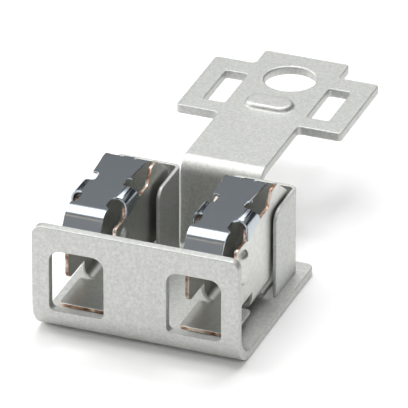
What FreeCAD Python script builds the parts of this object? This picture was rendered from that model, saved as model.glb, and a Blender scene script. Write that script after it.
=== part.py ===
import FreeCAD, Part
import math
import os

# Fuse holder: a bracket stamped and bent from one tin-plated sheet carries two spring contacts.
# Each contact is a bent copper sheet under a spring steel cap, held in a small support cage.
# Millimetres. X runs across the front wall, Y from the front wall to the tab, Z up.
# The origin is on the underside, in the middle of the whole outline.
# A name that ends in FromFront is a distance behind the front wall's outer face, and a setback
# is a distance towards that face from the feature before it.

V = FreeCAD.Vector

# Bracket
bracketSheet = 1.2
bracketWidth = 27.0
baseDepth = 26.8
wallHeight = 15.2
frontBendInside = 3.2
wallCornerRadius = 1.3
baseCornerRadius = 1.0

# Windows in the front wall
windowWidth = 7.1
windowHeight = 8.3
windowSill = 3.8
windowPitch = 15.3
windowTopRadius = 1.5
windowBottomRadius = 0.7

# Rear strip and cross-shaped tab
tabOffset = 1.35
stripWidth = 10.7
rootBendInside = 0.6
rootReliefWidth = 0.8
rootReliefDepth = 0.6
topBendInside = 0.9
tabHeight = 13.2
tabReach = 57.0
crossbarDepth = 14.1
crossbarWidth = 22.1
endPieceWidth = 11.4
endPieceLength = 3.8
tabCornerRadius = 0.5
innerCornerRadius = 0.6
boltHoleDiameter = 6.6
boltHoleEndDistance = 6.3
slotWidth = 2.9
slotLength = 8.2
slotSpacing = 13.9
slotSetback = 4.8
slotCornerRadius = 0.4
beadLength = 6.3
beadWidth = 3.5
beadHeight = 0.6
beadSetback = 7.5
beadRimRadius = 0.55

# Support cages
cageSheet = 0.5
cageShift = 0.05
cageSideClearance = 0.4
cageRearClearance = 0.2
cageBendInside = 0.4
cageEarDepth = 7.6
cageTop = 13.0
cageEarCornerRadius = 1.5
footWidth = 5.4
footReach = 8.6

# Contacts: height of the channel and its tongues
contactSheet = 0.5
contactWidth = 6.8
contactShift = 0.25
contactBendInside = 1.3
channelFromFront = 10.8
joggleHeight = 0.8
joggleLength = 1.1
joggleBendInside = 0.6
tongueFromFront = 3.4
tongueCornerRadius = 0.5
neckLength = 0.5
rearTongueSetback = 0.4

# Contacts: outline of the two plates
plateFromFront = 5.4
plateLift = 0.9
plateCornerRadius = 1.2
lugCornerRadius = 0.6
stepCornerRadius = 0.25
plateRearClearance = 1.3
plateRearTop = 13.2
noseDrop = 1.5
seatClearance = 0.05
seatSetIn = 0.3
seatTrail = 0.7
saddleDrop = 0.85
lugSetback = 3.8
lugLength = 1.6
lugRampLength = 1.4
dimpleSetback = 2.2
dimpleMiddle = 10.3
dimpleLength = 5.0
dimpleRadius = 1.2
dimpleHeight = 0.7

# Spring caps
capSheet = 0.3
capTop = 16.4
capBendInside = 1.05
capFromFront = 3.75
capRearSetback = 0.8
frontFlangeWidth = 5.0
frontFlangeBendInside = 1.8
frontFlangeDrop = 3.0
frontFlangeLean = 1.95
cornerReliefSetback = 1.45
cornerReliefLength = 3.1
cornerReliefSpacing = 3.8
cornerReliefRadius = 1.0
sideFlangeFrontLap = 1.5
sideFlangeRearLap = 0.55
sideFlangeCornerRadius = 0.3
sideNotchFromFront = 11.3
sideNotchLength = 2.1
sideNotchLean = 1.3
notchedWidth = 3.6
notchRadius = 0.6
rearPartWidth = 5.5
rearPartShift = 0.4
rearPartTaper = 0.35
rearCornerRadius = 0.4
rearLipWidth = 1.4
rearLipReach = 0.6
rearLipDrop = 1.1
rearLipBendInside = 0.3
rearLipReliefWidth = 0.35
rearLipReliefDepth = 0.35

# Rivets that clamp contact, cage foot and base
rivetEdgeDistance = 1.7
rivetLead = 0.7
rivetShankDiameter = 1.6
rivetHeadDiameter = 2.8
rivetHeadHeight = 0.9
rivetRimShare = 0.35
rivetSinkDiameter = 2.8
rivetSinkDepth = 0.6
rivetHoleClearance = 0.05

# Places that follow from the sizes above
frontY = -tabReach / 2
tabUnderside = tabHeight - bracketSheet
crossbarRearFromFront = tabReach - endPieceLength
crossbarFromFront = crossbarRearFromFront - crossbarDepth
boltHoleFromFront = tabReach - boltHoleEndDistance
slotFromFront = boltHoleFromFront - slotSetback
beadFromFront = boltHoleFromFront - beadSetback
rootRadius = rootBendInside + bracketSheet
cageInsideWidth = contactWidth + 2 * cageSideClearance
cageOutsideWidth = cageInsideWidth + 2 * cageSheet
cageRearFromFront = baseDepth - rootRadius - cageRearClearance
footTop = bracketSheet + cageSheet
floorBottom = footTop + joggleHeight
channelRadius = contactBendInside + contactSheet
channelFlatWidth = contactWidth - 2 * channelRadius
plateBottom = floorBottom + channelRadius + plateLift
plateRearFromFront = cageRearFromFront - cageSheet - plateRearClearance
rearTongueFromFront = plateRearFromFront - rearTongueSetback
rivetFromFront = rearTongueFromFront - rivetEdgeDistance
joggleRearFromFront = rivetFromFront - rivetHeadDiameter / 2 - rivetLead
joggleFromFront = joggleRearFromFront - joggleLength
channelRearFromFront = joggleFromFront - neckLength
lugRearFromFront = plateRearFromFront - lugSetback
capBendRadius = capBendInside + capSheet
capOutsideWidth = contactWidth + 2 * capSheet
capRearFromFront = lugRearFromFront - capRearSetback
reliefFromFront = capFromFront + cornerReliefSetback
reliefRearFromFront = reliefFromFront + cornerReliefLength
seatTop = capTop - capBendRadius - seatClearance
lugTop = capTop - capSheet - seatClearance


def outlineWire(corners, place):
    """Closed outline through corners (u, v, radius); place turns u and v into a point."""
    count = len(corners)
    starts = []
    ends = []
    for index, (u, v, radius) in enumerate(corners):
        corner = V(u, v, 0)
        before = V(*corners[index - 1][:2], 0)
        after = V(*corners[(index + 1) % count][:2], 0)
        toBefore = (before - corner).normalize()
        toAfter = (after - corner).normalize()
        setback = radius / math.tan(toBefore.getAngle(toAfter) / 2) if radius else 0
        starts.append(corner + toBefore * setback)
        ends.append(corner + toAfter * setback)
    edges = []
    for index, (u, v, radius) in enumerate(corners):
        first = starts[index]
        last = ends[index]
        if radius:
            corner = V(u, v, 0)
            middle = (first + last) * 0.5
            halfChord = (last - first).Length / 2
            sagitta = radius - math.sqrt(radius ** 2 - halfChord ** 2)
            onArc = middle + (corner - middle).normalize() * sagitta
            arc = Part.Arc(place(first.x, first.y), place(onArc.x, onArc.y), place(last.x, last.y))
            edges.append(arc.toShape())
        following = starts[(index + 1) % count]
        if (following - last).Length > 1e-6:
            edges.append(Part.makeLine(place(last.x, last.y), place(following.x, following.y)))
    return Part.Wire(edges)


def seenFromAbove(corners, bottom, height):
    """Plate whose outline in X and Y is given, from bottom up."""
    wire = outlineWire(corners, lambda u, v: V(u, frontY + v, bottom))
    return Part.Face(wire).extrude(V(0, 0, height))


def seenFromFront(corners, near, depth):
    """Block whose outline in X and Z is given, from near towards the rear."""
    wire = outlineWire(corners, lambda u, v: V(u, frontY + near, v))
    return Part.Face(wire).extrude(V(0, depth, 0))


def seenFromSide(corners, left, width):
    """Block whose outline in Y and Z is given, from left towards +X."""
    wire = outlineWire(corners, lambda u, v: V(left, frontY + u, v))
    return Part.Face(wire).extrude(V(width, 0, 0))


def block(left, near, bottom, width, depth, height):
    """Plain box, with near as a distance from the front wall's outer face."""
    return Part.makeBox(width, depth, height, V(left, frontY + near, bottom))


def sheetSection(path, sheet, insideRadii):
    """Corners of a bent sheet's section, with one inside radius for each bend.

    The path follows one face of the sheet, and the sheet lies to the left of the path.
    """
    normals = []
    for (u, v), (nextU, nextV) in zip(path, path[1:]):
        along = V(nextU - u, nextV - v, 0).normalize()
        normals.append(V(-along.y, along.x, 0))
    near = [(*path[0], 0)]
    far = [(path[0][0] + normals[0].x * sheet, path[0][1] + normals[0].y * sheet, 0)]
    for (u, v), before, after, inside in zip(path[1:], normals, normals[1:], insideRadii):
        offset = V(u, v, 0) + (before + after) * (sheet / (1 + before.dot(after)))
        turnsToSheet = before.cross(after).z > 0
        near.append((u, v, inside + sheet if turnsToSheet else inside))
        far.append((offset.x, offset.y, inside if turnsToSheet else inside + sheet))
    near.append((*path[-1], 0))
    far.append((path[-1][0] + normals[-1].x * sheet, path[-1][1] + normals[-1].y * sheet, 0))
    return near + far[::-1]


def rectangle(centreU, centreV, width, height, radius):
    """Corners of a rectangle about a centre, all with one radius."""
    left = centreU - width / 2
    low = centreV - height / 2
    return [(left, low, radius), (left + width, low, radius),
            (left + width, low + height, radius), (left, low + height, radius)]


def slotOutline(centreU, centreV, length, width):
    """Corners of a slot with round ends, its length along u."""
    return rectangle(centreU, centreV, length, width, width / 2)


def bothSides(halfOutline, centre):
    """Outline made of a right half and its mirror image about centre."""
    right = [(centre + x, y, radius) for x, y, radius in halfOutline]
    left = [(centre - x, y, radius) for x, y, radius in reversed(halfOutline)]
    return right + left


def makeBracket(rivetPlaces):
    """Base, front wall with windows, rear strip and tab, bent from one sheet."""
    left = -bracketWidth / 2
    section = sheetSection([(0, wallHeight), (0, 0), (baseDepth, 0)], bracketSheet, [frontBendInside])
    body = seenFromSide(section, left, bracketWidth)
    wallOutline = [(left, 0, 0), (-left, 0, 0), (-left, wallHeight, wallCornerRadius),
                   (left, wallHeight, wallCornerRadius)]
    baseOutline = [(left, 0, 0), (-left, 0, 0), (-left, baseDepth, baseCornerRadius),
                   (left, baseDepth, baseCornerRadius)]
    body = body.common(seenFromFront(wallOutline, 0, baseDepth))
    body = body.common(seenFromAbove(baseOutline, 0, wallHeight))
    openings = [makeWindow(side * windowPitch / 2) for side in (-1, 1)]

    rootFromFront = baseDepth - rootRadius - rootReliefDepth
    reliefs = stripWidth + 2 * rootReliefWidth
    openings.append(block(tabOffset - reliefs / 2, rootFromFront, 0, reliefs, baseDepth, bracketSheet))
    openings += [rivetSink(rivetX) for rivetX in rivetPlaces]
    body = body.cut(openings)

    path = [(rootFromFront, 0), (baseDepth, 0), (baseDepth, tabUnderside), (crossbarFromFront, tabUnderside)]
    strip = seenFromSide(sheetSection(path, bracketSheet, [rootBendInside, topBendInside]),
                         tabOffset - stripWidth / 2, stripWidth)
    return body.fuse([strip, makeTab()]).cut(tabOpenings()).removeSplitter()


def makeWindow(centreX):
    """One window through the front wall, as a solid to cut away."""
    half = windowWidth / 2
    top = windowSill + windowHeight
    left = centreX - half
    right = centreX + half
    corners = [(left, windowSill, windowBottomRadius), (right, windowSill, windowBottomRadius),
               (right, top, windowTopRadius), (left, top, windowTopRadius)]
    return seenFromFront(corners, 0, frontBendInside + bracketSheet)


def makeTab():
    """Cross-shaped end of the strip, with a bead pressed up in front of the bolt hole."""
    neck = crossbarFromFront - bracketSheet
    strip = stripWidth / 2
    bar = crossbarWidth / 2
    tip = endPieceWidth / 2
    half = [(strip, neck, 0), (strip, crossbarFromFront, innerCornerRadius),
            (bar, crossbarFromFront, tabCornerRadius), (bar, crossbarRearFromFront, tabCornerRadius),
            (tip, crossbarRearFromFront, innerCornerRadius), (tip, tabReach, tabCornerRadius)]
    tab = seenFromAbove(bothSides(half, tabOffset), tabUnderside, bracketSheet)
    bead = seenFromAbove(slotOutline(tabOffset, beadFromFront, beadLength, beadWidth),
                         tabUnderside + beadHeight, bracketSheet)
    rim = [edge for edge in bead.Edges if edge.BoundBox.ZMin > tabHeight]
    hollow = seenFromAbove(slotOutline(tabOffset, beadFromFront, beadLength - bracketSheet,
                                       beadWidth - bracketSheet), tabUnderside, beadHeight)
    return tab.fuse(bead.makeFillet(beadRimRadius, rim)).cut(hollow)


def tabOpenings():
    """Bolt hole and the two slots, as solids to cut away."""
    openings = [Part.makeCylinder(boltHoleDiameter / 2, bracketSheet,
                                  V(tabOffset, frontY + boltHoleFromFront, tabUnderside))]
    for side in (-1, 1):
        slot = rectangle(tabOffset + side * slotSpacing / 2, slotFromFront, slotWidth, slotLength,
                         slotCornerRadius)
        openings.append(seenFromAbove(slot, tabUnderside, bracketSheet))
    return openings


def rivetHole(rivetX, bottom, height):
    """Clearance hole for the rivet's shank."""
    radius = rivetShankDiameter / 2 + rivetHoleClearance
    return Part.makeCylinder(radius, height, V(rivetX, frontY + rivetFromFront, bottom))


def rivetSink(rivetX):
    """Countersunk hole in the base for a rivet."""
    mouth = rivetSinkDiameter / 2 + rivetHoleClearance
    throat = rivetShankDiameter / 2 + rivetHoleClearance
    cone = Part.makeCone(mouth, throat, rivetSinkDepth, V(rivetX, frontY + rivetFromFront, 0))
    return cone.fuse(rivetHole(rivetX, 0, bracketSheet))


def makeCage(centreX, rivetX):
    """Rear wall with two ears bent forward and a foot bent under the contact."""
    earFront = cageRearFromFront - cageEarDepth
    half = cageOutsideWidth / 2
    path = [(centreX + half, earFront), (centreX + half, cageRearFromFront),
            (centreX - half, cageRearFromFront), (centreX - half, earFront)]
    wrap = seenFromAbove(sheetSection(path, cageSheet, [cageBendInside, cageBendInside]), bracketSheet,
                         cageTop - bracketSheet)
    earOutline = [(earFront, bracketSheet, 0), (cageRearFromFront, bracketSheet, 0),
                  (cageRearFromFront, cageTop, 0), (earFront, cageTop, cageEarCornerRadius)]
    wrap = wrap.common(seenFromSide(earOutline, centreX - half, cageOutsideWidth))
    footLeft = centreX - footWidth / 2
    bendHeight = cageBendInside + cageSheet
    wrap = wrap.cut(block(footLeft, cageRearFromFront - cageSheet, bracketSheet, footWidth, cageSheet,
                          bendHeight))
    footPath = [(cageRearFromFront - footReach, bracketSheet), (cageRearFromFront, bracketSheet),
                (cageRearFromFront, bracketSheet + 2 * bendHeight)]
    foot = seenFromSide(sheetSection(footPath, cageSheet, [cageBendInside]), footLeft, footWidth)
    return wrap.fuse(foot).cut(rivetHole(rivetX, bracketSheet, cageSheet)).removeSplitter()


def plateOutline():
    """Side view of a contact's plates, with the channel that joins them below."""
    front = plateFromFront
    rear = plateRearFromFront
    noseTop = seatTop - noseDrop
    saddle = seatTop - saddleDrop
    channelFront = channelFromFront
    channelRear = channelRearFromFront
    seatFront = reliefRearFromFront + seatSetIn
    seatRear = sideNotchFromFront + seatTrail
    lugRear = lugRearFromFront
    lugFront = lugRear - lugLength
    return [(front, plateBottom, plateCornerRadius), (channelFront, plateBottom, 0),
            (channelFront, floorBottom, 0), (channelRear, floorBottom, 0), (channelRear, plateBottom, 0),
            (rear, plateBottom, plateCornerRadius), (rear, plateRearTop, plateCornerRadius),
            (lugRear, lugTop, plateCornerRadius), (lugFront, lugTop, lugCornerRadius),
            (lugFront - lugRampLength, saddle, lugCornerRadius), (seatRear, saddle, stepCornerRadius),
            (seatRear, seatTop, stepCornerRadius), (seatFront, seatTop, stepCornerRadius),
            (seatFront, noseTop, stepCornerRadius), (front, noseTop, lugCornerRadius)]


def makeContact(centreX):
    """Contact bent from one copper sheet: two plates, a channel, a front and a rear tongue."""
    half = contactWidth / 2
    path = [(centreX - half, capTop), (centreX - half, floorBottom), (centreX + half, floorBottom),
            (centreX + half, capTop)]
    body = seenFromFront(sheetSection(path, contactSheet, [contactBendInside] * 2),
                         plateFromFront, plateRearFromFront - plateFromFront)
    body = body.common(seenFromSide(plateOutline(), centreX - half, contactWidth))

    inside = block(centreX - half + contactSheet, 0, 0, contactWidth - 2 * contactSheet, baseDepth, capTop)
    for side in (-1, 1):
        form, hollow = makeDimple(centreX + side * (half - dimpleRadius + dimpleHeight))
        body = body.fuse(form.cut(inside)).cut(hollow)

    flatLeft = centreX - channelFlatWidth / 2
    tongueRear = channelFromFront - neckLength
    tongueMiddle = (tongueFromFront + tongueRear) / 2
    tongue = seenFromAbove(rectangle(centreX, tongueMiddle, contactWidth, tongueRear - tongueFromFront,
                                     tongueCornerRadius), floorBottom, contactSheet)
    neckFront = tongueRear - neckLength
    neckRear = channelFromFront + neckLength
    neck = block(flatLeft, neckFront, floorBottom, channelFlatWidth, neckRear - neckFront, contactSheet)
    rearPath = [(channelRearFromFront - neckLength, floorBottom), (joggleFromFront, floorBottom),
                (joggleRearFromFront, footTop), (rearTongueFromFront, footTop)]
    rearTongue = seenFromSide(sheetSection(rearPath, contactSheet, [joggleBendInside] * 2), flatLeft,
                              channelFlatWidth)
    body = body.fuse([tongue, neck, rearTongue])
    return body.cut(rivetHole(centreX, footTop, contactSheet)).removeSplitter()


def makeDimple(axisX):
    """Dimple pressed out of a plate about an upright axis: its outer form and its hollow."""
    straight = dimpleLength - 2 * dimpleRadius
    low = V(axisX, frontY + plateFromFront + dimpleSetback, dimpleMiddle - straight / 2)
    high = low + V(0, 0, straight)
    rod = Part.makeCylinder(dimpleRadius, straight, low)
    form = rod.fuse([Part.makeSphere(dimpleRadius, low), Part.makeSphere(dimpleRadius, high)])
    return form.removeSplitter(), Part.makeCylinder(dimpleRadius - contactSheet, straight, low)


def makeCap(centreX):
    """Spring steel cap: flat top, front flange, two short side flanges and a narrow rear part."""
    half = capOutsideWidth / 2
    underside = capTop - capSheet
    seamHeight = seatTop + seatClearance
    flangeBottom = seamHeight - sideFlangeFrontLap
    path = [(centreX + half, flangeBottom), (centreX + half, capTop), (centreX - half, capTop),
            (centreX - half, flangeBottom)]
    sides = seenFromFront(sheetSection(path, capSheet, [capBendInside] * 2), capFromFront,
                          capRearFromFront - capFromFront)
    flangeFront = reliefRearFromFront - cornerReliefRadius
    flange = [(flangeFront, flangeBottom, 0), (reliefRearFromFront, flangeBottom, 0),
              (sideNotchFromFront + sideNotchLean, seamHeight - sideFlangeRearLap, sideFlangeCornerRadius),
              (sideNotchFromFront, capTop, 0), (flangeFront, capTop, 0)]
    sides = sides.common(seenFromSide(flange, centreX - half, capOutsideWidth))

    topFront = capFromFront + frontFlangeBendInside + capSheet
    frontPath = [(topFront, capTop), (capFromFront, capTop),
                 (capFromFront - frontFlangeLean, capTop - frontFlangeDrop)]
    nose = seenFromSide(sheetSection(frontPath, capSheet, [frontFlangeBendInside]),
                        centreX - frontFlangeWidth / 2, frontFlangeWidth)
    lipRear = capRearFromFront + rearLipReach
    lipPath = [(lipRear, capTop - rearLipDrop), (lipRear, capTop), (capRearFromFront - rearLipReach, capTop)]
    lip = seenFromSide(sheetSection(lipPath, capSheet, [rearLipBendInside]), centreX - rearLipWidth / 2,
                       rearLipWidth)

    flat = half - capBendRadius
    notched = notchedWidth / 2
    right = rearPartWidth / 2 - rearPartShift
    left = rearPartWidth / 2 + rearPartShift
    notchRear = sideNotchFromFront + sideNotchLength
    outline = [(centreX + flat, topFront, 0), (centreX + flat, sideNotchFromFront, 0),
               (centreX + notched, sideNotchFromFront, notchRadius),
               (centreX + notched, notchRear, notchRadius), (centreX + right - rearPartTaper, notchRear, 0),
               (centreX + right, capRearFromFront, rearCornerRadius),
               (centreX - left, capRearFromFront, rearCornerRadius),
               (centreX - left + rearPartTaper, notchRear, 0), (centreX - notched, notchRear, notchRadius),
               (centreX - notched, sideNotchFromFront, notchRadius),
               (centreX - flat, sideNotchFromFront, 0), (centreX - flat, topFront, 0)]
    top = seenFromAbove(outline, underside, capSheet)
    cap = top.cut(lipReliefs(centreX)).fuse([nose, sides, lip])
    return cap.cut(cornerReliefs(centreX)).removeSplitter()


def cornerReliefs(centreX):
    """Round reliefs between the front flange and the side flanges, as solids to cut away."""
    inner = cornerReliefSpacing / 2
    outer = capOutsideWidth / 2 + cornerReliefRadius
    reliefs = []
    for side in (-1, 1):
        corners = rectangle(centreX + side * (inner + outer) / 2, reliefFromFront + cornerReliefLength / 2,
                            outer - inner, cornerReliefLength, cornerReliefRadius)
        reliefs.append(seenFromAbove(corners, 0, 2 * capTop))
    return reliefs


def lipReliefs(centreX):
    """Small reliefs beside the rear lip, as solids to cut away."""
    reliefs = []
    for side in (-1, 1):
        middle = centreX + side * (rearLipWidth + rearLipReliefWidth) / 2
        reliefs.append(block(middle - rearLipReliefWidth / 2, capRearFromFront - rearLipReliefDepth, 0,
                             rearLipReliefWidth, 2 * rearLipReliefDepth, capTop))
    return reliefs


def makeRivet(rivetX):
    """Rivet with a low domed head inside the contact and a flush foot in the base."""
    shank = rivetShankDiameter / 2
    head = rivetHeadDiameter / 2
    headBottom = footTop + contactSheet
    rimTop = headBottom + rivetRimShare * rivetHeadHeight
    headTop = headBottom + rivetHeadHeight
    points = [V(0, 0, 0), V(rivetSinkDiameter / 2, 0, 0), V(shank, 0, rivetSinkDepth),
              V(shank, 0, headBottom), V(head, 0, headBottom), V(head, 0, rimTop)]
    edges = [Part.makeLine(start, end) for start, end in zip(points, points[1:])]
    crownHeight = headTop - rimTop
    crownRadius = (head ** 2 + crownHeight ** 2) / (2 * crownHeight)
    onCrown = V(head / 2, 0, headTop - crownRadius + math.sqrt(crownRadius ** 2 - head ** 2 / 4))
    edges.append(Part.Arc(points[-1], onCrown, V(0, 0, headTop)).toShape())
    edges.append(Part.makeLine(V(0, 0, headTop), points[0]))
    rivet = Part.Face(Part.Wire(edges)).revolve(V(0, 0, 0), V(0, 0, 1), 360)
    rivet.translate(V(rivetX, frontY + rivetFromFront, 0))
    return rivet


def main():
    os.makedirs("parts", exist_ok=True)
    nodes = {}
    contactPlaces = {"left": -windowPitch / 2 - contactShift, "right": windowPitch / 2 + contactShift}
    cagePlaces = {"left": -windowPitch / 2 - cageShift, "right": windowPitch / 2 + cageShift}
    nodes["bracket"] = makeBracket(contactPlaces.values())
    for side, contactX in contactPlaces.items():
        nodes["support_cage_" + side] = makeCage(cagePlaces[side], contactX)
        nodes["contact_" + side] = makeContact(contactX)
        nodes["spring_cap_" + side] = makeCap(contactX)
        nodes["rivet_" + side] = makeRivet(contactX)
    for name, shape in nodes.items():
        box = shape.BoundBox
        limits = [round(value, 2) for value in (box.XMin, box.XMax, box.YMin, box.YMax, box.ZMin, box.ZMax)]
        print(name, len(shape.Solids), shape.isValid(), round(shape.Volume, 2), limits)
        shape.exportStep("parts/" + name + ".step")


main()
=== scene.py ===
import math
import bmesh
import bpy
from mathutils import Matrix, Vector


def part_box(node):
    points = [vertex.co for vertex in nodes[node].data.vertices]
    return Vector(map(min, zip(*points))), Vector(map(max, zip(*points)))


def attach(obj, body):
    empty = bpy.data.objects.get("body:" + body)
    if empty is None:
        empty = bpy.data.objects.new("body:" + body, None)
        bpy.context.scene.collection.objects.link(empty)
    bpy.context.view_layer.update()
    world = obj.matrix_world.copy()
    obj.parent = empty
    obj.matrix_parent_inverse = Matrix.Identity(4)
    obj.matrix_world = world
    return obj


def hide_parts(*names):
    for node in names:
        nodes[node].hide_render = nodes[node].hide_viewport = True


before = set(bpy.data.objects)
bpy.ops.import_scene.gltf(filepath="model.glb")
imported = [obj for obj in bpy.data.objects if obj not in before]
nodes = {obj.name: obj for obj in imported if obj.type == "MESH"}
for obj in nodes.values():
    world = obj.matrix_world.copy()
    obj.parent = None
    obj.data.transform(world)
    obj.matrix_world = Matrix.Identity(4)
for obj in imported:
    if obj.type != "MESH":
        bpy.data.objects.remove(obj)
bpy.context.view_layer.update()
mm = 0.001
sides = ("left", "right")


# helpers

def hexColour(text):
    # sRGB hex to the linear colour that a shader socket takes
    parts = [int(text[i:i + 2], 16) / 255 for i in (1, 3, 5)]
    linear = [c / 12.92 if c <= 0.04045 else ((c + 0.055) / 1.055) ** 2.4 for c in parts]
    return (*linear, 1.0)


def addNode(tree, kind, settings=None, links=None):
    # settings are input values, attributes or the stops of a ramp, from low to high;
    # links are input name to output socket
    node = tree.nodes.new(kind)
    for name, value in (settings or {}).items():
        if name == "stops":
            elements = node.color_ramp.elements
            while len(elements) < len(value):
                elements.new(1.0)
            for element, (position, colour) in zip(elements, value):
                element.position = position
                element.color = hexColour(colour)
        elif name in node.inputs:
            node.inputs[name].default_value = value
        else:
            setattr(node, name, value)
    for name, socket in (links or {}).items():
        tree.links.new(socket, node.inputs[name])
    return node


def newMaterial(name):
    material = bpy.data.materials.new(name)
    material.use_nodes = True
    material.node_tree.nodes.clear()
    return material, material.node_tree


def selectOnly(piece):
    bpy.ops.object.select_all(action="DESELECT")
    piece.select_set(True)
    bpy.context.view_layer.objects.active = piece


# angles in degrees
meshCare = {"mergeGap": 0.002 * mm, "flatAngle": 0.6, "edgeAngle": 35, "smoothAngle": 40}


def copyOfNode(nodeName, pieceName):
    # a copy of the solid's mesh with its loose triangles merged into whole faces
    source = nodes[nodeName]
    selectOnly(source)
    bpy.ops.object.duplicate()
    piece = bpy.context.active_object
    piece.name = pieceName
    piece.data.name = pieceName
    for key in list(piece.keys()):
        del piece[key]
    world = piece.matrix_world.copy()
    piece.parent = None
    piece.matrix_world = world
    piece.data.materials.clear()
    bpy.ops.object.mode_set(mode="EDIT")
    bpy.ops.mesh.select_all(action="SELECT")
    bpy.ops.mesh.remove_doubles(threshold=meshCare["mergeGap"])
    bpy.ops.mesh.dissolve_limited(angle_limit=math.radians(meshCare["flatAngle"]))
    bpy.ops.mesh.select_all(action="DESELECT")
    bpy.ops.object.mode_set(mode="OBJECT")
    return piece


def softenEdges(piece, widest, segments=2, widthAt=None):
    # stamped and bent sheet has edges that are rolled over a little;
    # widthAt gives the width for a place, and without it all edges get the widest
    sheet = bmesh.new()
    sheet.from_mesh(piece.data)
    weight = sheet.edges.layers.float.new("bevel_weight_edge")
    for edge in sheet.edges:
        if edge.calc_face_angle(0) > math.radians(meshCare["edgeAngle"]):
            middle = (edge.verts[0].co + edge.verts[1].co) / 2
            edge[weight] = widthAt(middle) / widest if widthAt else 1.0
    sheet.to_mesh(piece.data)
    sheet.free()
    selectOnly(piece)
    bevel = piece.modifiers.new("edgeBreak", "BEVEL")
    bevel.width = widest
    bevel.segments = segments
    bevel.limit_method = "WEIGHT"
    bevel.use_clamp_overlap = False
    bevel.harden_normals = False
    bpy.ops.object.modifier_apply(modifier=bevel.name)
    bpy.ops.object.shade_smooth_by_angle(angle=math.radians(meshCare["smoothAngle"]))
    flatten = piece.modifiers.new("flatFaces", "WEIGHTED_NORMAL")
    flatten.keep_sharp = True
    flatten.weight = 100
    bpy.ops.object.modifier_apply(modifier=flatten.name)


def giveMaterials(piece, *materials):
    for material in materials:
        piece.data.materials.append(material)


def standFor(piece, nodeName):
    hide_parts(nodeName)
    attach(piece, "root")


# materials

tinPlateLook = {
    "crystal": 0.35 * mm,   # size of the cloudy crystals
    "tones": ((0.3, "#BEBFBC"), (0.7, "#D9DAD7")),
    "grain": 0.25 * mm,     # handling marks, drawn coarser than the real matt grain
    "roughness": (0.5, 0.6), "relief": 0.06, "reliefDepth": 0.02 * mm,
}


def tinPlatedSteel():
    # electrolytic tin plate on mild steel, as punched: satin grey with faint cloudy crystals
    look = tinPlateLook
    material, tree = newMaterial("tinPlatedSteel")
    place = addNode(tree, "ShaderNodeTexCoord")
    clouds = addNode(tree, "ShaderNodeTexNoise",
                     {"Scale": 1 / look["crystal"], "Detail": 4.0, "Roughness": 0.7},
                     {"Vector": place.outputs["Object"]})
    tones = addNode(tree, "ShaderNodeValToRGB", {"stops": look["tones"]},
                    {"Fac": clouds.outputs["Fac"]})
    grain = addNode(tree, "ShaderNodeTexNoise", {"Scale": 1 / look["grain"], "Detail": 2.0},
                    {"Vector": place.outputs["Object"]})
    dullness = addNode(tree, "ShaderNodeMapRange",
                       {"To Min": look["roughness"][0], "To Max": look["roughness"][1]},
                       {"Value": grain.outputs["Fac"]})
    relief = addNode(tree, "ShaderNodeBump",
                     {"Strength": look["relief"], "Distance": look["reliefDepth"]},
                     {"Height": grain.outputs["Fac"]})
    shader = addNode(tree, "ShaderNodeBsdfPrincipled", {"Metallic": 1.0},
                     {"Base Color": tones.outputs["Color"],
                      "Roughness": dullness.outputs["Result"],
                      "Normal": relief.outputs["Normal"]})
    addNode(tree, "ShaderNodeOutputMaterial", links={"Surface": shader.outputs["BSDF"]})
    return material


tinnedCopperLook = {"cloud": 0.6 * mm, "tones": ((0.3, "#C8C9C4"), (0.7, "#D5D6D1")),
                    "roughness": 0.34}


def tinnedCopperSheet():
    # copper strip tinned before stamping: a little brighter and smoother than the bracket
    look = tinnedCopperLook
    material, tree = newMaterial("tinnedCopperSheet")
    place = addNode(tree, "ShaderNodeTexCoord")
    clouds = addNode(tree, "ShaderNodeTexNoise", {"Scale": 1 / look["cloud"], "Detail": 2.0},
                     {"Vector": place.outputs["Object"]})
    tones = addNode(tree, "ShaderNodeValToRGB", {"stops": look["tones"]},
                    {"Fac": clouds.outputs["Fac"]})
    shader = addNode(tree, "ShaderNodeBsdfPrincipled",
                     {"Metallic": 1.0, "Roughness": look["roughness"]},
                     {"Base Color": tones.outputs["Color"]})
    addNode(tree, "ShaderNodeOutputMaterial", links={"Surface": shader.outputs["BSDF"]})
    return material


# the pale cream top stop of these tones is a painted highlight on the sheared copper, set in random
# patches
copperEdgeAndGlintLook = {"patch": 1.1 * mm, "roughness": 0.4,
                  "tones": ((0.3, "#765D50"), (0.44, "#B38C75"), (0.6, "#EBD8CA"))}


def bareCopperEdgeAndPaintedGlint():
    # where the tinned strip was sheared, bare copper shows, dulled by handling in its darker patches;
    # the palest cream patches are a painted highlight
    look = copperEdgeAndGlintLook
    material, tree = newMaterial("bareCopperEdgeAndPaintedGlint")
    place = addNode(tree, "ShaderNodeTexCoord")
    copperAndGlintPatches = addNode(tree, "ShaderNodeTexNoise", {"Scale": 1 / look["patch"], "Detail": 3.0},
                      {"Vector": place.outputs["Object"]})
    tones = addNode(tree, "ShaderNodeValToRGB", {"stops": look["tones"]},
                    {"Fac": copperAndGlintPatches.outputs["Fac"]})
    shader = addNode(tree, "ShaderNodeBsdfPrincipled",
                     {"Metallic": 1.0, "Roughness": look["roughness"]},
                     {"Base Color": tones.outputs["Color"]})
    addNode(tree, "ShaderNodeOutputMaterial", links={"Surface": shader.outputs["BSDF"]})
    return material


springSteelLook = {
    "colour": "#B4BCC3", "roughness": (0.17, 0.22), "relief": 0.05, "reliefDepth": 0.01 * mm,
    "lineWidth": 0.12 * mm,   # rolling lines, coarser than the real ones so that they show
    "lineLength": 6 * mm,
}


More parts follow.
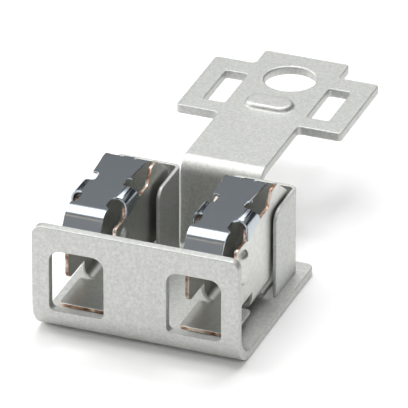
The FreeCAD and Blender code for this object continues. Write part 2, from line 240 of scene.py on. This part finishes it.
def rolledSpringSteel():
    # bright rolled stainless spring strip: nearly a mirror, with fine rolling lines along its length
    look = springSteelLook
    material, tree = newMaterial("rolledSpringSteel")
    place = addNode(tree, "ShaderNodeTexCoord")
    stretch = addNode(tree, "ShaderNodeMapping",
                      {"Scale": (1 / look["lineWidth"], 1 / look["lineLength"], 1 / look["lineWidth"])},
                      {"Vector": place.outputs["Object"]})
    lines = addNode(tree, "ShaderNodeTexNoise", {"Scale": 1.0, "Detail": 2.0},
                    {"Vector": stretch.outputs["Vector"]})
    dullness = addNode(tree, "ShaderNodeMapRange",
                       {"To Min": look["roughness"][0], "To Max": look["roughness"][1]},
                       {"Value": lines.outputs["Fac"]})
    relief = addNode(tree, "ShaderNodeBump",
                     {"Strength": look["relief"], "Distance": look["reliefDepth"]},
                     {"Height": lines.outputs["Fac"]})
    shader = addNode(tree, "ShaderNodeBsdfPrincipled",
                     {"Metallic": 1.0, "Base Color": hexColour(look["colour"])},
                     {"Roughness": dullness.outputs["Result"], "Normal": relief.outputs["Normal"]})
    addNode(tree, "ShaderNodeOutputMaterial", links={"Surface": shader.outputs["BSDF"]})
    return material


tinPlate = tinPlatedSteel()
tinnedCopper = tinnedCopperSheet()
copperEdge = bareCopperEdgeAndPaintedGlint()
springSteel = rolledSpringSteel()
print("materials ready")


# bracket

bracketLook = {
    "edgeBreak": 0.17 * mm, "windowBreak": 0.13 * mm, "boltRimRoll": 0.26 * mm, "segments": 3,
    "wallInside": -27 * mm,                                # the front wall lies before this
    "windowSide": 3.9 * mm, "windowFarSide": 11.5 * mm,    # from the middle
    "windowLow": 3.7 * mm, "windowHigh": 12.2 * mm,
    "tabLow": 11 * mm, "boltHole": (1.35 * mm, 22.2 * mm), "boltRim": 3.5 * mm,
}


def bracketEdge(point):
    # the bolt hole's rim is rolled over further than the outline, the two windows' rims less
    look = bracketLook
    inWindow = (point.y < look["wallInside"]
                and look["windowSide"] < abs(point.x) < look["windowFarSide"]
                and look["windowLow"] < point.z < look["windowHigh"])
    across = point.x - look["boltHole"][0]
    along = point.y - look["boltHole"][1]
    if point.z > look["tabLow"] and math.hypot(across, along) < look["boltRim"]:
        return look["boltRimRoll"]
    return look["windowBreak"] if inWindow else look["edgeBreak"]


bracket = copyOfNode("bracket", "bracketSheet")
giveMaterials(bracket, tinPlate)
softenEdges(bracket, bracketLook["boltRimRoll"], bracketLook["segments"], bracketEdge)
standFor(bracket, "bracket")
print("bracket ready")


# support cages

cageLook = {"edgeBreak": 0.1 * mm, "middle": 7.7 * mm, "footHalf": 2.9 * mm,
            "footRear": -4.75 * mm, "footTop": 2.2 * mm}


def cageEdge(point):
    # the foot's bend meets the walls at a grazing angle there, and stays sharp
    look = cageLook
    atFootBend = (abs(abs(point.x) - look["middle"]) < look["footHalf"]
                  and point.y > look["footRear"] and point.z < look["footTop"])
    return 0.0 if atFootBend else look["edgeBreak"]


for side in sides:
    cage = copyOfNode("support_cage_" + side, "cageSheet_" + side)
    giveMaterials(cage, tinPlate)
    softenEdges(cage, cageLook["edgeBreak"], widthAt=cageEdge)
    standFor(cage, "support_cage_" + side)
print("support cages ready")


# contacts

contactLook = {
    "edgeBreak": 0.1 * mm, "tongueFront": -24.5 * mm, "channelTop": 4.3 * mm,
    "plateInside": 2.85 * mm, "plateOutside": 3.45 * mm,    # from the contact's middle
    "dimpleFront": -22.15 * mm, "dimpleRear": -19.6 * mm,
    "dimpleLow": 7.7 * mm, "dimpleHigh": 12.9 * mm,
    "sideways": 0.5, "upright": 0.3,    # a normal's x or z above this is a sheet face, not a cut
}


def isCutEdge(face, centreX):
    # sheared faces run across the sheet's thickness: round the plates and at the tongue's front
    look = contactLook
    x, y, z = face.center
    if z > look["channelTop"]:
        onPlate = look["plateInside"] < abs(x - centreX) < look["plateOutside"]
        inDimple = (look["dimpleFront"] < y < look["dimpleRear"]
                    and look["dimpleLow"] < z < look["dimpleHigh"])
        return abs(face.normal.x) < look["sideways"] and onPlate and not inDimple
    return y < look["tongueFront"] and abs(face.normal.z) < look["upright"]


for side in sides:
    contact = copyOfNode("contact_" + side, "contactSheet_" + side)
    giveMaterials(contact, tinnedCopper, copperEdge)
    low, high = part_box("contact_" + side)
    centreX = (low.x + high.x) / 2
    for face in contact.data.polygons:
        face.material_index = 1 if isCutEdge(face, centreX) else 0   # 1 is the bare copper
    softenEdges(contact, contactLook["edgeBreak"])
    standFor(contact, "contact_" + side)
print("contacts ready")


# spring caps

capLook = {"edgeBreak": 0.04 * mm, "reliefEnd": -17.2 * mm, "reliefReach": 0.2 * mm}


def capEdge(point):
    # the relief runs out in the bend at a grazing angle, and stays sharp there
    look = capLook
    return 0.0 if abs(point.y - look["reliefEnd"]) < look["reliefReach"] else look["edgeBreak"]


for side in sides:
    cap = copyOfNode("spring_cap_" + side, "capSheet_" + side)
    giveMaterials(cap, springSteel)
    softenEdges(cap, capLook["edgeBreak"], widthAt=capEdge)
    standFor(cap, "spring_cap_" + side)
print("spring caps ready")


# rivets keep their solids

for side in sides:
    rivet = nodes["rivet_" + side]
    rivet.data.materials.clear()
    rivet.data.materials.append(tinPlate)
print("rivets ready")


# studio

studio = {
    "floor": "#FFFFFF", "floorRoughness": 0.9, "floorSize": 12,
    # place in millimetres and angles in degrees, fitted to the photograph
    "camera": (298.13, -787.47, 466.93), "azimuth": 20.854, "elevation": 28.687, "roll": 0.125,
    "lens": 679.6, "sensor": 36, "nearest": 0.05, "farthest": 40,
    # soft bands of the sky, from a little above the horizon to near the top
    "skyBands": ((0.4, "#565A60"), (0.5, "#FFFFFF"), (0.6, "#FFFFFF"), (0.7, "#E6E6E6"),
                 (0.8, "#DADADA"), (0.93, "#404040")),
    "skyStrength": 0.4,
}

bpy.ops.object.select_all(action="DESELECT")
bpy.ops.mesh.primitive_plane_add(size=studio["floorSize"], location=(0, 0, 0))
floor = bpy.context.active_object
floor.name = "floor"
paper, tree = newMaterial("whitePaper")
shader = addNode(tree, "ShaderNodeBsdfPrincipled",
                 {"Base Color": hexColour(studio["floor"]), "Roughness": studio["floorRoughness"]})
addNode(tree, "ShaderNodeOutputMaterial", links={"Surface": shader.outputs["BSDF"]})
floor.data.materials.append(paper)

world = bpy.data.worlds.new("softStudio")
bpy.context.scene.world = world
world.use_nodes = True
sky = world.node_tree
sky.nodes.clear()
direction = addNode(sky, "ShaderNodeTexCoord")
height = addNode(sky, "ShaderNodeSeparateXYZ", links={"Vector": direction.outputs["Generated"]})
bands = addNode(sky, "ShaderNodeValToRGB", {"stops": studio["skyBands"]},
                {"Fac": height.outputs["Z"]})
glow = addNode(sky, "ShaderNodeBackground", {"Strength": studio["skyStrength"]},
               {"Color": bands.outputs["Color"]})
addNode(sky, "ShaderNodeOutputWorld", links={"Surface": glow.outputs["Background"]})

# places and sizes in metres, each box turned to the object
softboxes = {
    "overheadBox": {"place": (-0.12, 0, 0.6), "size": (0.5, 0.5), "watts": 2.25},
    "rearBox": {"place": (0, 0.27, 0.59), "size": (0.5, 0.18), "watts": 1.15},
    "rearFill": {"place": (0, 0.4, 0.51), "size": (0.5, 0.14), "watts": 0.4},
    "lowFrontBox": {"place": (-0.42, -0.45, 0.08), "size": (0.4, 0.2), "watts": 0.31},
    "highFrontBox": {"place": (0.22, -0.42, 0.42), "size": (0.25, 0.2), "watts": 0.58},
    "leftBox": {"place": (-0.55, 0, 0.25), "size": (0.3, 0.3), "watts": 1.7},
    "warmStrip": {"place": (-0.2, -0.42, 0.42), "size": (0.4, 0.04), "watts": 0.05,
                  "tint": "#FFDFC0"},
}
for name, box in softboxes.items():
    bpy.ops.object.light_add(type="AREA", location=box["place"])
    light = bpy.context.active_object
    light.name = name
    light.data.shape = "RECTANGLE"
    light.data.size, light.data.size_y = box["size"]
    light.data.energy = box["watts"]
    light.data.color = hexColour(box.get("tint", "#FFFFFF"))[:3]
    light.rotation_euler = (-Vector(box["place"])).to_track_quat("-Z", "Y").to_euler()

cameraData = bpy.data.cameras.new("photoCamera")
camera = bpy.data.objects.new("photoCamera", cameraData)
bpy.context.scene.collection.objects.link(camera)
cameraData.lens = studio["lens"]
cameraData.sensor_width = studio["sensor"]
cameraData.clip_start = studio["nearest"]
cameraData.clip_end = studio["farthest"]
turn = (Matrix.Rotation(math.radians(studio["azimuth"]), 4, "Z")
        @ Matrix.Rotation(math.radians(90 - studio["elevation"]), 4, "X")
        @ Matrix.Rotation(math.radians(studio["roll"]), 4, "Z"))
camera.matrix_world = Matrix.Translation(Vector(studio["camera"]) * mm) @ turn
bpy.context.scene.camera = camera
bpy.context.scene.view_settings.view_transform = "Standard"
print("studio ready")
